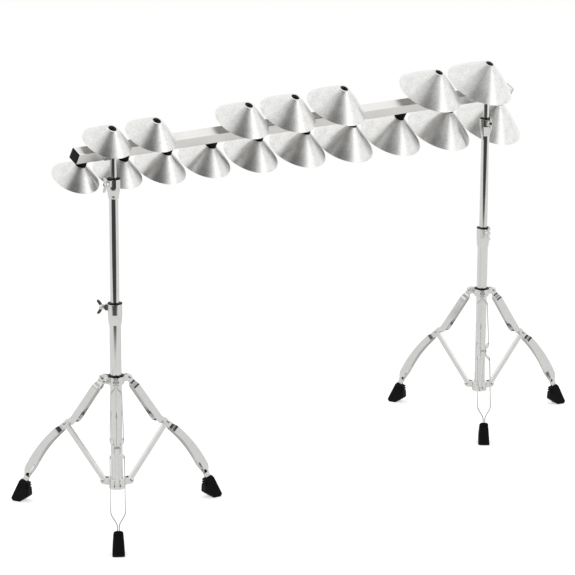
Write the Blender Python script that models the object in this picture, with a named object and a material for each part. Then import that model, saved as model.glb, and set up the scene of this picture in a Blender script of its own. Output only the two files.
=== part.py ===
"""Cone-bell metallophone in metres, +Z up, +X along the bar towards the large bells.

Seventeen turned aluminium cone bells sit above and below one square bar that leans 30 degrees.
Two telescoping chrome tripod stands carry the bar. The middle of the footprint is the origin.
"""
import math

import bmesh
import bpy
import numpy as np
from mathutils import Matrix, Vector

MM = 0.001

# Clearances
GAP = 0.3 * MM            # between neighbouring pieces that don't turn in one another
PIN_GAP = 0.2 * MM        # between a rivet and its hole

# Bar
BAR_SIDE = 28.6 * MM
BAR_WALL = 2.0 * MM
BAR_TILT = math.radians(30)
BAR_HEIGHT = 911 * MM     # centre line above the floor
BAR_BEHIND = 20 * MM      # centre line behind the column axes
BAR_OVERHANG = 99 * MM    # left end to the left column
BAR_BEYOND = 15 * MM      # right end beyond the axis of the last bell
CAP_PLATE = 2.5 * MM
CAP_PLUG = 14 * MM

# Bells: rim diameters fall by one ratio per semitone, largest at the right
SMALLEST_RIM = 119 * MM
SEMITONE_RATIO = 1.0305
NATURAL_STEPS = (0, 2, 4, 5, 7, 9, 11, 12, 14, 16)
NATURAL_PLACES_MM = (-71, 58.5, 194, 338, 495, 659, 827, 1003, 1192, 1394)
ACCIDENTAL_STEPS = (1, 3, 6, 8, 10, 13, 15)
ACCIDENTAL_PLACES_MM = (-13, 121.5, 414, 568, 736, 1080.5, 1273.5)
HEIGHT_RATIO = 0.70       # height over rim radius of the smallest bell
HEIGHT_GROWTH = 0.113     # added to that ratio as the rim doubles
LOWER_RIM_RATIO = 1.195   # rim plane to bar centre line, over rim radius
UPPER_TOP_RATIO = 1.152   # crown to bar centre line, over rim radius
BELL_WALL = 3.0 * MM
CROWN_RADIUS = 12.2 * MM
SHOULDER_RADIUS = 13.8 * MM
SHOULDER_DROP = 2.2 * MM
BORE_RADIUS = 9.6 * MM
RECESS = 2.2 * MM
STANDOFF_RADIUS = 9.0 * MM
SPACER_RADIUS = 13.75 * MM
NUT_RADIUS = 8.5 * MM
NUT_HEIGHT = 6 * MM
BAR_LENGTH = BAR_OVERHANG + NATURAL_PLACES_MM[-1] * MM + BAR_BEYOND

# Stands
STAND_SPACING = 1300 * MM
BASE_RADIUS = 14.3 * MM
BASE_WALL = 2.0 * MM
MIDDLE_RADIUS = 11.1 * MM
MIDDLE_WALL = 1.6 * MM
TOP_RADIUS = 7.95 * MM
TOP_WALL = 1.5 * MM
MIDDLE_CLAMP_LOW = 488 * MM
MIDDLE_CLAMP_HEIGHT = 55 * MM
TOP_CLAMP_BELOW = 112 * MM
TOP_CLAMP_LOW = BAR_HEIGHT - TOP_CLAMP_BELOW
TOP_CLAMP_HEIGHT = 50 * MM
CLAMP_SEAT = 27 * MM      # depth of the tube seat in the underside of a clamp
CLAMP_TAPER = 32 * MM     # length of the clamp's tapered foot
MIDDLE_TUBE_LOW = 336 * MM
TOP_TUBE_BELOW = 301 * MM
TOP_TUBE_LOW = BAR_HEIGHT - TOP_TUBE_BELOW
BUSH_LIP = 3.2 * MM
PLATE_THICK = 4 * MM
PLATE_WIDTH = 42 * MM
PLATE_HEIGHT = 25 * MM
SCREW_RADIUS = 4 * MM
SCREW_HEAD = 2 * MM
CUT_REACH = 80 * MM       # how far the cut along the plate's back reaches

# Tripod linkage
PIVOT_RADIUS = 35.7 * MM  # leg and brace pivots from the column axis
LINK = 169.9 * MM         # upper pivot to elbow, and elbow to lower pivot
LEG_DROP = (math.radians(50.74), math.radians(52.77))
LEG_TURN = (math.radians(-128.1), math.radians(-134.0))
TURN_STEP = math.radians(120)
FOOT_ALONG = 429.2 * MM   # upper pivot to ground contact, along the upper leg
TUBE_BELOW_PIVOT = 14.2 * MM

# Legs: pairs of pressed strips
STRIP_THICK = 2.2 * MM
STRIP_TALL = 17 * MM
STRIP_TALL_PINCHED = 14 * MM
STRIP_TALL_TIP = 10 * MM
LEG_END = 8 * MM
HIP_PINCH = 12 * MM       # end of the pinched stretch below the upper pivot
HIP_BEND = 18 * MM        # length of the bends out of it
ELBOW_PINCH = 11 * MM
ELBOW_BEND = 16 * MM
FOOT_BEND = 34 * MM
TONGUE_LENGTH = 38 * MM   # straight end of the leg, which stands in the foot
TONGUE_ABOVE_SOLE = 25.2 * MM
TOP_SPREAD = 12.6 * MM
MID_SPREAD = 15.2 * MM
LOW_SPREAD = 16.2 * MM
ELBOW_SPREAD = 6.2 * MM
TONGUE_SPREAD = 1.1 * MM
UPPER_SAG = 12.5 * MM     # strips below the line of the pivots just above the elbow
ELBOW_SAG = 3 * MM        # the same at the upper end of the elbow's pinch
LOWER_RISE = 6.5 * MM     # top of the lower strips' arc above that line
ARC_TOP = LINK + 0.33 * (FOOT_ALONG - LINK)
ARC_HALF = 0.278 * (FOOT_ALONG - LINK)      # where the arc crosses the line, from its top
FOOT_ACROSS = -29.5 * MM  # ground contact below the line
TONGUE_END = FOOT_ALONG - TONGUE_ABOVE_SOLE
TONGUE_START = TONGUE_END - TONGUE_LENGTH
RIVET_RADIUS = 3 * MM
RIVET_HEAD = 4.8 * MM
RIVET_HEAD_TALL = 1.4 * MM

# Braces: pressed channels
BRACE_WIDE = 11 * MM
BRACE_TALL = 10.5 * MM
BRACE_WALL = 1.8 * MM
BRACE_END = 6.5 * MM

# Collars
RING_RADIUS = 20.5 * MM
RING_UP = 11 * MM
RING_DOWN = 12 * MM
EAR_TALL = 8.5 * MM
EAR_THICK = 3.4 * MM
EAR_REACH = 7.5 * MM
EAR_ROOT = 17.5 * MM

# Rubber feet
FOOT_HALF_WIDE = 15 * MM
FOOT_TOP_SCALE = 0.77
FOOT_TALL = 58 * MM
FOOT_OUTLINE_MM = ((-12, 0), (13, 0), (17, 4), (-9, 58), (-33, 49), (-34, 15))

# Wing bolts
SHANK_RADIUS = 3 * MM
SHANK_LENGTH = 7 * MM
HUB_RADIUS = 6 * MM
HUB_LENGTH = 12 * MM
WING_SPAN = 18.5 * MM
WING_THICK = 3 * MM
FLANGE_OUT = 8 * MM
FLANGE_WIDE = 13 * MM
FLANGE_TALL = 16 * MM
CLAMP_BOLT_TURN = (
    (math.radians(137), math.radians(197), math.radians(172)),
    (math.radians(-112), math.radians(-115), math.radians(46)),
)

SIDES = ("left", "right")
BELL_ROUND = 24           # sides of a turned form, by size
TUBE_ROUND = 20
RIVET_ROUND = 10


def clear_scene():
    for item in list(bpy.data.objects):
        bpy.data.objects.remove(item)


def material(name, colour, roughness, metallic):
    made = bpy.data.materials.new(name)
    made.use_nodes = True
    shader = made.node_tree.nodes["Principled BSDF"]
    shader.inputs["Base Color"].default_value = (*colour, 1)
    shader.inputs["Roughness"].default_value = roughness
    shader.inputs["Metallic"].default_value = metallic
    made.diffuse_color = (*colour, 1)
    return made


def chrome():
    return material("chrome", (0.80, 0.80, 0.81), 0.08, 1)


def turned_aluminium():
    return material("turned_aluminium", (0.83, 0.83, 0.84), 0.32, 1)


def bar_aluminium():
    return material("bar_aluminium", (0.78, 0.78, 0.78), 0.42, 1)


def black_rubber():
    return material("black_rubber", (0.012, 0.012, 0.013), 0.65, 0)


def black_plastic():
    return material("black_plastic", (0.015, 0.015, 0.016), 0.45, 0)


def skin(rings, closed=False):
    """Solid through rings of equal point counts: capped at both ends, or closed on itself."""
    mesh = bmesh.new()
    loops = [[mesh.verts.new(point) for point in ring] for ring in rings]
    count = len(rings[0])
    following = loops[1:] + loops[:1] if closed else loops[1:]
    for near, far in zip(loops, following):
        for index in range(count):
            after = (index + 1) % count
            mesh.faces.new((near[index], near[after], far[after], far[index]))
    if not closed:
        mesh.faces.new(loops[0])
        mesh.faces.new(loops[-1])
    bmesh.ops.recalc_face_normals(mesh, faces=mesh.faces)
    return mesh


def circle(radius, height, count):
    angles = [2 * math.pi * index / count for index in range(count)]
    return [(radius * math.cos(a), radius * math.sin(a), height) for a in angles]


def lathe(profile, closed=False, count=TUBE_ROUND):
    """Solid of revolution about Z from (radius, height) pairs."""
    return skin([circle(radius, height, count) for radius, height in profile], closed)


def cylinder_y(radius, half_length):
    mesh = lathe([(radius, -half_length), (radius, half_length)], count=RIVET_ROUND)
    mesh.transform(Matrix.Rotation(math.pi / 2, 4, "X"))
    return mesh


def block(low, high):
    x0, y0, z0 = low
    x1, y1, z1 = high
    ring = [(y0, z0), (y1, z0), (y1, z1), (y0, z1)]
    return skin([[(x, y, z) for y, z in ring] for x in (x0, x1)])


def slab_y(outline, low, high):
    """Outline in the X-Z plane carried along Y."""
    return skin([[(x, y, z) for x, z in outline] for y in (low, high)])


def loose(mesh):
    """Mesh object for a solid that is still being put together."""
    data = bpy.data.meshes.new("form")
    mesh.to_mesh(data)
    mesh.free()
    made = bpy.data.objects.new("form", data)
    bpy.context.scene.collection.objects.link(made)
    return made


def combine(target, tool, operation="UNION"):
    step = target.modifiers.new("combine", "BOOLEAN")
    step.operation = operation
    step.solver = "EXACT"
    step.object = tool
    graph = bpy.context.evaluated_depsgraph_get()
    made = bpy.data.meshes.new_from_object(target.evaluated_get(graph))
    target.modifiers.clear()
    target.data = made
    bpy.data.objects.remove(tool)


def join(target, *meshes):
    for mesh in meshes:
        combine(target, loose(mesh))


def cut(target, *meshes):
    for mesh in meshes:
        combine(target, loose(mesh), "DIFFERENCE")


def finish(made, name, placement, surface, smooth=True):
    """Names a finished solid and sets it in place."""
    made.name = name
    made.data.name = name
    made.data.materials.clear()
    made.data.materials.append(surface)
    if smooth:
        made.data.shade_smooth()
        made.data.set_sharp_from_angle(angle=math.radians(35))
    made.matrix_world = placement
    return made


def copy_of(made, name, placement):
    twin = bpy.data.objects.new(name, made.data)
    bpy.context.scene.collection.objects.link(twin)
    twin.matrix_world = placement
    return twin


# The bar and its bells

def bar_frame(along=0.0):
    """Frame on the bar's centre line: X along the bar, Z out of its upper face."""
    place = Matrix.Translation(Vector((along, BAR_BEHIND, BAR_HEIGHT)))
    return place @ Matrix.Rotation(BAR_TILT, 4, "X")


def square(side, along):
    half = side / 2
    return [(along, -half, -half), (along, half, -half), (along, half, half), (along, -half, half)]


def bar(surface):
    inner = BAR_SIDE - 2 * BAR_WALL
    rings = [
        square(BAR_SIDE, 0),
        square(BAR_SIDE, BAR_LENGTH),
        square(inner, BAR_LENGTH),
        square(inner, 0),
    ]
    finish(loose(skin(rings, closed=True)), "bar", bar_frame(-BAR_OVERHANG), surface, smooth=False)


def bar_cap(name, along, outwards, surface):
    plug = BAR_SIDE - 2 * BAR_WALL - 2 * GAP
    rings = [
        square(BAR_SIDE, outwards * (GAP + CAP_PLATE)),
        square(BAR_SIDE, outwards * GAP),
        square(plug, outwards * GAP),
        square(plug, -outwards * CAP_PLUG),
    ]
    finish(loose(skin(rings)), name, bar_frame(along), surface, smooth=False)


def bell_height(rim):
    growth = 2 * rim / SMALLEST_RIM - 1
    return rim * (HEIGHT_RATIO + HEIGHT_GROWTH * growth)


def bell_flank(rim, height):
    """Outer flank from rim edge to shoulder, as (radius, height above rim plane)."""
    return [(rim, 0), (SHOULDER_RADIUS, height - SHOULDER_DROP)]


def bell_inside(rim, height):
    """Inner flank from roof to rim, parallel to the outer one."""
    slope = (rim - SHOULDER_RADIUS) / (height - SHOULDER_DROP)
    sideways = BELL_WALL * math.hypot(1, slope)
    roof = height - 1.6 * BELL_WALL
    roof_radius = SHOULDER_RADIUS + (height - SHOULDER_DROP - roof) * slope - sideways
    return [(roof_radius, roof), (rim - sideways, 0)]


def upper_bell_profile(rim):
    """From the foot of the standoff, up inside the cone, round the rim and up to the bolt recess."""
    height = bell_height(rim)
    rim_plane = UPPER_TOP_RATIO * rim - height
    roof, inner_rim = bell_inside(rim, height)
    cone = [(STANDOFF_RADIUS, roof[1]), roof, inner_rim]
    cone += bell_flank(rim, height)
    cone += [(CROWN_RADIUS, height), (BORE_RADIUS, height), (BORE_RADIUS, height - RECESS)]
    foot = (STANDOFF_RADIUS, BAR_SIDE / 2 + GAP)
    return [foot] + [(radius, rim_plane + up) for radius, up in cone]


def lower_bell_profile(rim):
    """From the top of the spacer down over the cone, round the rim and up to the nut inside."""
    height = bell_height(rim)
    rim_plane = LOWER_RIM_RATIO * rim
    roof, inner_rim = bell_inside(rim, height)
    outside = [(SPACER_RADIUS, height)] + bell_flank(rim, height)[::-1]
    nut = roof[1] - NUT_HEIGHT
    inside = [inner_rim, roof, (NUT_RADIUS, roof[1]), (NUT_RADIUS, nut)]
    head = (SPACER_RADIUS, BAR_SIDE / 2 + GAP)
    return [head] + [(radius, rim_plane - up) for radius, up in outside + inside]


def bells(surface):
    hang = Matrix.Rotation(math.pi, 4, "X")
    rows = (
        ("bell_upper", ACCIDENTAL_STEPS, ACCIDENTAL_PLACES_MM, upper_bell_profile, Matrix()),
        ("bell_lower", NATURAL_STEPS, NATURAL_PLACES_MM, lower_bell_profile, hang),
    )
    for label, steps, places, profile, turn in rows:
        for number, (step, place) in enumerate(zip(steps, places), start=1):
            rim = SMALLEST_RIM / 2 * SEMITONE_RATIO ** step
            solid = loose(lathe(profile(rim), count=BELL_ROUND))
            finish(solid, f"{label}_{number:02d}", bar_frame(place * MM) @ turn, surface)


# Stand columns

def tube(name, low, high, radius, wall, column, surface):
    profile = [(radius, low), (radius, high), (radius - wall, high), (radius - wall, low)]
    solid = loose(lathe([(r, z - low) for r, z in profile], closed=True))
    finish(solid, name, Matrix.Translation(column + Vector((0, 0, low))), surface)


def top_tube(name, column, surface):
    """Rod end of the column, welded to a small plate that lies on the bar's front face."""
    top = BAR_HEIGHT - 4 * MM
    inner = TOP_RADIUS - TOP_WALL
    outline = [(TOP_RADIUS, 0), (TOP_RADIUS, top - TOP_TUBE_LOW)]
    outline += [(inner, top - TOP_TUBE_LOW), (inner, 0)]
    solid = loose(lathe(outline, closed=True))
    away = Matrix.Translation(Vector((0, BAR_BEHIND, BAR_HEIGHT - TOP_TUBE_LOW)))
    away = away @ Matrix.Rotation(BAR_TILT, 4, "X")
    face = -BAR_SIDE / 2 - GAP
    half = PLATE_WIDTH / 2
    near = (-half, face - PLATE_THICK, -CUT_REACH)
    behind = block(near, (half, CUT_REACH, CUT_REACH))
    behind.transform(away)
    cut(solid, behind)
    plate = block((-half, face - PLATE_THICK, -PLATE_HEIGHT / 2), (half, face, PLATE_HEIGHT / 2))
    plate.transform(away)
    join(solid, plate)
    for side in (-1, 1):
        head = cylinder_y(SCREW_RADIUS, SCREW_HEAD)
        middle = Vector((side * 15 * MM, face - PLATE_THICK, 0))
        head.transform(away @ Matrix.Translation(middle))
        join(solid, head)
    place = Matrix.Translation(column + Vector((0, 0, TOP_TUBE_LOW)))
    finish(solid, name, place, surface)


def clamp(name, low, height, outside, tube_radius, rod_radius, turn, column, surface):
    """Cast clamp: seat for the lower tube, bush for the rod, lip on top, flange for the bolt."""
    seat = CLAMP_SEAT
    bore = rod_radius + GAP
    neck = height - BUSH_LIP
    profile = [
        (outside - 2.6 * MM, 0),
        (outside, CLAMP_TAPER),
        (outside, neck),
        (outside + 1.6 * MM, neck),
        (outside + 1.6 * MM, height),
        (bore, height),
        (bore, seat),
        (tube_radius + GAP, seat),
        (tube_radius + GAP, 0),
    ]
    solid = loose(lathe(profile, closed=True))
    reach = outside + FLANGE_OUT
    middle = neck - FLANGE_TALL / 2
    add_bolt_flange(solid, outside, reach, middle)
    place = Matrix.Translation(column + Vector((0, 0, low))) @ Matrix.Rotation(turn, 4, "Z")
    finish(solid, name, place, surface)
    return place @ Matrix.Translation(Vector((reach + GAP, 0, middle)))


def add_bolt_flange(solid, outside, reach, middle):
    half = FLANGE_WIDE / 2
    tall = FLANGE_TALL / 2
    inside = outside - 1.2 * MM
    join(solid, block((inside, -half, middle - tall), (reach, half, middle + tall)))
    hole = lathe([(SHANK_RADIUS + GAP, outside - 0.4 * MM), (SHANK_RADIUS + GAP, reach + 5 * MM)],
                 count=RIVET_ROUND)
    hole.transform(Matrix.Rotation(math.pi / 2, 4, "Y"))
    hole.transform(Matrix.Translation(Vector((0, 0, middle))))
    cut(solid, hole)


def wing_bolt(surface):
    """Bolt along X: the origin is where its shank enters the flange."""
    profile = [
        (SHANK_RADIUS, -SHANK_LENGTH),
        (SHANK_RADIUS, 0),
        (HUB_RADIUS, 0),
        (HUB_RADIUS - 1 * MM, HUB_LENGTH),
    ]
    turned = lathe(profile, count=RIVET_ROUND)
    turned.transform(Matrix.Rotation(math.pi / 2, 4, "Y"))
    solid = loose(turned)
    for side in (-1, 1):
        outline = [(2 * MM, 2 * MM), (10 * MM, 2 * MM), (18 * MM, WING_SPAN - 4 * MM)]
        outline += [(17 * MM, WING_SPAN), (11 * MM, WING_SPAN), (7 * MM, WING_SPAN - 5 * MM)]
        shape = [(x, side * z) for x, z in outline]
        join(solid, slab_y(shape, -WING_THICK / 2, WING_THICK / 2))
    return finish(solid, "wing_bolt", Matrix(), surface)


# Tripod

def ears(solid, height, inner):
    """Three pairs of ears round a collar, each pair joined by its rivet."""
    outline = [
        (EAR_ROOT, height - EAR_TALL),
        (PIVOT_RADIUS + 2 * MM, height - EAR_TALL),
        (PIVOT_RADIUS + EAR_REACH, height - EAR_TALL / 2),
        (PIVOT_RADIUS + EAR_REACH, height + EAR_TALL / 2),
        (PIVOT_RADIUS + 2 * MM, height + EAR_TALL),
        (EAR_ROOT, height + EAR_TALL),
    ]
    for index in range(3):
        turn = Matrix.Rotation(index * TURN_STEP, 4, "Z")
        for side in (-1, 1):
            near, far = sorted((side * inner, side * (inner + EAR_THICK)))
            ear = slab_y(outline, near, far)
            ear.transform(turn)
            join(solid, ear)


def rivets(solid, height, inner, through):
    """Rivet heads outside each pair of ears, with the shank between them if it runs through."""
    for index in range(3):
        turn = Matrix.Rotation(index * TURN_STEP, 4, "Z")
        spot = turn @ Matrix.Translation(Vector((PIVOT_RADIUS, 0, height)))
        if through:
            shank = cylinder_y(RIVET_RADIUS, inner + EAR_THICK)
            shank.transform(spot)
            join(solid, shank)
        for side in (-1, 1):
            head = cylinder_y(RIVET_HEAD, RIVET_HEAD_TALL)
            out = side * (inner + EAR_THICK)
            head.transform(spot @ Matrix.Translation(Vector((0, out, 0))))
            join(solid, head)


def upper_collar(name, index, column, surface):
    """Collar that slides on the base tube and carries the legs."""
    bore = BASE_RADIUS + GAP
    profile = [
        (RING_RADIUS - 1 * MM, -RING_DOWN),
        (RING_RADIUS, RING_UP - BUSH_LIP),
        (RING_RADIUS - 1.5 * MM, RING_UP),
        (bore, RING_UP),
        (bore, -RING_DOWN),
    ]
    solid = loose(lathe(profile, closed=True))
    inner = TONGUE_SPREAD + STRIP_THICK + GAP
    ears(solid, 0, inner)
    rivets(solid, 0, inner, through=True)
    bolt_turn = CLAMP_BOLT_TURN[index][2] - LEG_TURN[index]
    back = Matrix.Rotation(-bolt_turn, 4, "Z")
    solid.data.transform(back)
    reach = RING_RADIUS + FLANGE_OUT
    add_bolt_flange(solid, RING_RADIUS, reach, -1 * MM)
    solid.data.transform(back.inverted())
    pivot = Vector((0, 0, upper_pivot(index)))
    place = Matrix.Translation(column + pivot) @ Matrix.Rotation(LEG_TURN[index], 4, "Z")
    finish(solid, name, place, surface)
    turn = Matrix.Rotation(bolt_turn, 4, "Z")
    return place @ turn @ Matrix.Translation(Vector((reach + GAP, 0, -1 * MM)))


def upper_pivot(index):
    """Height of the leg pivots with the feet on the floor."""
    drop = LEG_DROP[index]
    return FOOT_ALONG * math.sin(drop) - FOOT_ACROSS * math.cos(drop)


def lower_pivot(index):
    return upper_pivot(index) - 2 * LINK * math.sin(LEG_DROP[index])


def lower_collar(name, index, column, surface):
    """Collar fixed to the foot of the base tube: the brace ends stand between its ears."""
    bore = BASE_RADIUS + GAP
    profile = [
        (RING_RADIUS, -TUBE_BELOW_PIVOT),
        (RING_RADIUS, RING_UP),
        (bore, RING_UP),
        (bore, -TUBE_BELOW_PIVOT),
    ]
    solid = loose(lathe(profile, closed=True))
    inner = BRACE_WIDE / 2 + GAP
    ears(solid, 0, inner)
    rivets(solid, 0, inner, through=False)
    place = Matrix.Translation(column + Vector((0, 0, lower_pivot(index))))
    finish(solid, name, place @ Matrix.Rotation(LEG_TURN[index], 4, "Z"), surface)


def lower_arc(along):
    """Height of the lower strips' middle over the line of the pivots."""
    return LOWER_RISE * (1 - ((along - ARC_TOP) / ARC_HALF) ** 2)


def arc_lean(along):
    """Fall of that arc at the same place."""
    return 2 * LOWER_RISE * (along - ARC_TOP) / ARC_HALF ** 2


def strip_stations():
    """(distance from pivot, height over the line of the pivots, fall, half gap, width)."""
    tall = STRIP_TALL
    low = STRIP_TALL_PINCHED
    above_elbow = LINK - ELBOW_PINCH - ELBOW_BEND
    below_elbow = LINK + ELBOW_PINCH + ELBOW_BEND
    above_foot = TONGUE_START - FOOT_BEND
    sag = UPPER_SAG / above_elbow
    stations = [
        (-LEG_END, 0, 0, TONGUE_SPREAD, STRIP_TALL_TIP),
        (HIP_PINCH, -sag * HIP_PINCH, 0, TONGUE_SPREAD, low),
        (HIP_PINCH + HIP_BEND, -sag * (HIP_PINCH + HIP_BEND), sag, TOP_SPREAD, tall),
        (above_elbow, -UPPER_SAG, sag, MID_SPREAD, tall),
        (LINK - ELBOW_PINCH, -ELBOW_SAG, 0, ELBOW_SPREAD, low),
        (LINK + ELBOW_PINCH, 0, 0, ELBOW_SPREAD, low),
    ]
    for step in range(5):
        along = below_elbow + (above_foot - below_elbow) * step / 4
        stations.append((along, lower_arc(along), arc_lean(along), LOW_SPREAD, tall))
    for along in (TONGUE_START, TONGUE_END):
        stations.append((along, lower_arc(along), tongue_lean(), TONGUE_SPREAD, low))
    return stations


def tongue_lean():
    return (lower_arc(TONGUE_START) - lower_arc(TONGUE_END)) / (TONGUE_END - TONGUE_START)


def tongue_reach():
    return (TONGUE_END - TONGUE_START) * math.hypot(1, tongue_lean())


def tongue_frame():
    """Frame of the straight end that stands in the foot: X along it from where it starts."""
    start = Vector((TONGUE_START, 0, lower_arc(TONGUE_START)))
    return Matrix.Translation(start) @ Matrix.Rotation(math.atan(tongue_lean()), 4, "Y")


def strip(side):
    """One strip, with its sections square to its middle line."""
    rings = []
    for along, middle, lean, gap, tall in strip_stations():
        half = tall / 2 / math.hypot(1, lean)
        ring = []
        for across, up in ((gap, -1), (gap + STRIP_THICK, -1), (gap + STRIP_THICK, 1), (gap, 1)):
            ring.append((along + lean * up * half, side * across, middle + up * half))
        rings.append(ring)
    return skin(rings)


def leg(surface):
    """Two strips riveted together: X runs from the upper pivot to the elbow."""
    solid = loose(strip(1))
    join(solid, strip(-1))
    web = TONGUE_SPREAD + STRIP_THICK / 2
    near = 4.5 * MM
    join(solid, block((1 * MM - LEG_END, -web, -near), (HIP_PINCH - 1 * MM, web, near)))
    tongue = block((2 * MM, -web, -near), (tongue_reach() - 1 * MM, web, near))
    tongue.transform(tongue_frame())
    join(solid, tongue)
    cut(solid, cylinder_y(RIVET_RADIUS + PIN_GAP, 20 * MM))
    outer = ELBOW_SPREAD + STRIP_THICK + RIVET_HEAD_TALL
    elbow = Matrix.Translation(Vector((LINK, 0, 0)))
    shank = cylinder_y(RIVET_RADIUS, outer - 0.5 * MM)
    shank.transform(elbow)
    join(solid, shank)
    for side in (-1, 1):
        head = cylinder_y(RIVET_HEAD, RIVET_HEAD_TALL)
        out = side * (ELBOW_SPREAD + STRIP_THICK)
        head.transform(elbow @ Matrix.Translation(Vector((0, out, 0))))
        join(solid, head)
    return finish(solid, "leg", Matrix(), surface)


def brace(surface):
    """Pressed channel: X runs from the elbow to the lower pivot."""
    half = BRACE_WIDE / 2
    tall = BRACE_TALL / 2
    inner = half - BRACE_WALL
    outline = [
        (-half, -tall),
        (half, -tall),
        (half, tall),
        (inner, tall),
        (inner, BRACE_WALL - tall),
        (-inner, BRACE_WALL - tall),
        (-inner, tall),
        (-half, tall),
    ]
    ends = (-BRACE_END, LINK + BRACE_END)
    solid = loose(skin([[(x, y, z) for y, z in outline] for x in ends]))
    cut(solid, cylinder_y(RIVET_RADIUS + PIN_GAP, 20 * MM))
    return finish(solid, "brace", Matrix(), surface)


def foot(index, surface):
    """Rubber shoe: X is outwards from the column and the origin is the ground contact."""
    outline = [(x * MM, z * MM) for x, z in FOOT_OUTLINE_MM]
    middle_x = sum(x for x, z in outline) / len(outline)
    middle_z = sum(z for x, z in outline) / len(outline)
    rings = []
    for side, inset in ((-1, 0.86), (-0.72, 1), (0.72, 1), (1, 0.86)):
        ring = []
        for x, z in outline:
            wide = FOOT_HALF_WIDE * (1 + (FOOT_TOP_SCALE - 1) * z / FOOT_TALL)
            up = z if z == 0 else middle_z + (z - middle_z) * inset
            ring.append((middle_x + (x - middle_x) * inset, side * wide, up))
        rings.append(ring)
    solid = loose(skin(rings))
    wide = TONGUE_SPREAD + STRIP_THICK + GAP
    tall = STRIP_TALL_PINCHED / 2 + GAP
    slot = block((-30 * MM, -wide, -tall), (tongue_reach() + 3 * GAP, wide, tall))
    slot.transform(tongue_frame())
    slot.transform(Matrix.Translation(Vector((-FOOT_ALONG, 0, -FOOT_ACROSS))))
    slot.transform(Matrix.Rotation(LEG_DROP[index], 4, "Y"))
    cut(solid, slot)
    return finish(solid, "foot", Matrix(), surface)


def tripod(index, column, leg_form, brace_form, foot_form):
    side = SIDES[index]
    drop = LEG_DROP[index]
    reach = Vector((FOOT_ALONG, 0, FOOT_ACROSS))
    for number in range(3):
        turn = Matrix.Rotation(LEG_TURN[index] + number * TURN_STEP, 4, "Z")
        pivot = Matrix.Translation(Vector((PIVOT_RADIUS, 0, upper_pivot(index))))
        hip = Matrix.Translation(column) @ turn @ pivot
        down = hip @ Matrix.Rotation(drop, 4, "Y")
        elbow = down @ Matrix.Translation(Vector((LINK, 0, 0)))
        back = elbow @ Matrix.Rotation(math.pi - 2 * drop, 4, "Y")
        contact = Matrix.Translation((down @ reach)) @ turn
        copy_of(leg_form, f"{side}_leg_{number + 1}", down)
        copy_of(brace_form, f"{side}_brace_{number + 1}", back)
        copy_of(foot_form, f"{side}_foot_{number + 1}", contact)


def stand(index, metal, rubber, forms):
    side = SIDES[index]
    column = Vector((index * STAND_SPACING, 0, 0))
    middle_seat = MIDDLE_CLAMP_LOW + CLAMP_SEAT
    top_seat = TOP_CLAMP_LOW + CLAMP_SEAT
    foot_of_tube = lower_pivot(index) - TUBE_BELOW_PIVOT
    tube(f"{side}_base_tube", foot_of_tube, middle_seat - GAP, BASE_RADIUS, BASE_WALL, column, metal)
    tube(f"{side}_middle_tube", MIDDLE_TUBE_LOW, top_seat - GAP, MIDDLE_RADIUS, MIDDLE_WALL,
         column, metal)
    top_tube(f"{side}_top_tube", column, metal)
    turns = CLAMP_BOLT_TURN[index]
    spots = [
        clamp(f"{side}_middle_clamp", MIDDLE_CLAMP_LOW, MIDDLE_CLAMP_HEIGHT, 18.0 * MM,
              BASE_RADIUS, MIDDLE_RADIUS, turns[0], column, metal),
        clamp(f"{side}_top_clamp", TOP_CLAMP_LOW, TOP_CLAMP_HEIGHT, 15.4 * MM,
              MIDDLE_RADIUS, TOP_RADIUS, turns[1], column, metal),
        upper_collar(f"{side}_upper_collar", index, column, metal),
    ]
    for label, spot in zip(("middle", "top", "collar"), spots):
        copy_of(forms["bolt"], f"{side}_{label}_wing_bolt", spot)
    lower_collar(f"{side}_lower_collar", index, column, metal)
    shoe = foot(index, rubber)
    tripod(index, column, forms["leg"], forms["brace"], shoe)
    bpy.data.objects.remove(shoe)


def centre_on_footprint():
    """Moves every piece so the bottom middle of the whole is the origin."""
    bpy.context.view_layer.update()
    corners = []
    for item in bpy.data.objects:
        corners += [item.matrix_world @ vertex.co for vertex in item.data.vertices]
    points = np.array([tuple(corner) for corner in corners])
    low = points.min(axis=0)
    high = points.max(axis=0)
    shift = Vector((-(low[0] + high[0]) / 2, -(low[1] + high[1]) / 2, -low[2]))
    for item in bpy.data.objects:
        item.matrix_world = Matrix.Translation(shift) @ item.matrix_world


def main():
    clear_scene()
    metal = chrome()
    rubber = black_rubber()
    bar(bar_aluminium())
    plastic = black_plastic()
    bar_cap("bar_cap_left", -BAR_OVERHANG, -1, plastic)
    bar_cap("bar_cap_right", BAR_LENGTH - BAR_OVERHANG, 1, plastic)
    bells(turned_aluminium())
    forms = {"leg": leg(metal), "brace": brace(metal), "bolt": wing_bolt(metal)}
    for index in range(2):
        stand(index, metal, rubber, forms)
    for form in forms.values():
        bpy.data.objects.remove(form)
    centre_on_footprint()


main()
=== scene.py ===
# %% [markdown]
# # A cone-bell metallophone on two tripod stands
#
# Seventeen turned aluminium cones hang above and below one square bar, and two chrome stands of
# the drum-hardware kind carry the bar. The solids come in as a frame that is already the right
# size and already knows what moves. This lesson dresses that frame: it puts rounded, finished
# pieces where the plain solids are, and it lights them.

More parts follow.
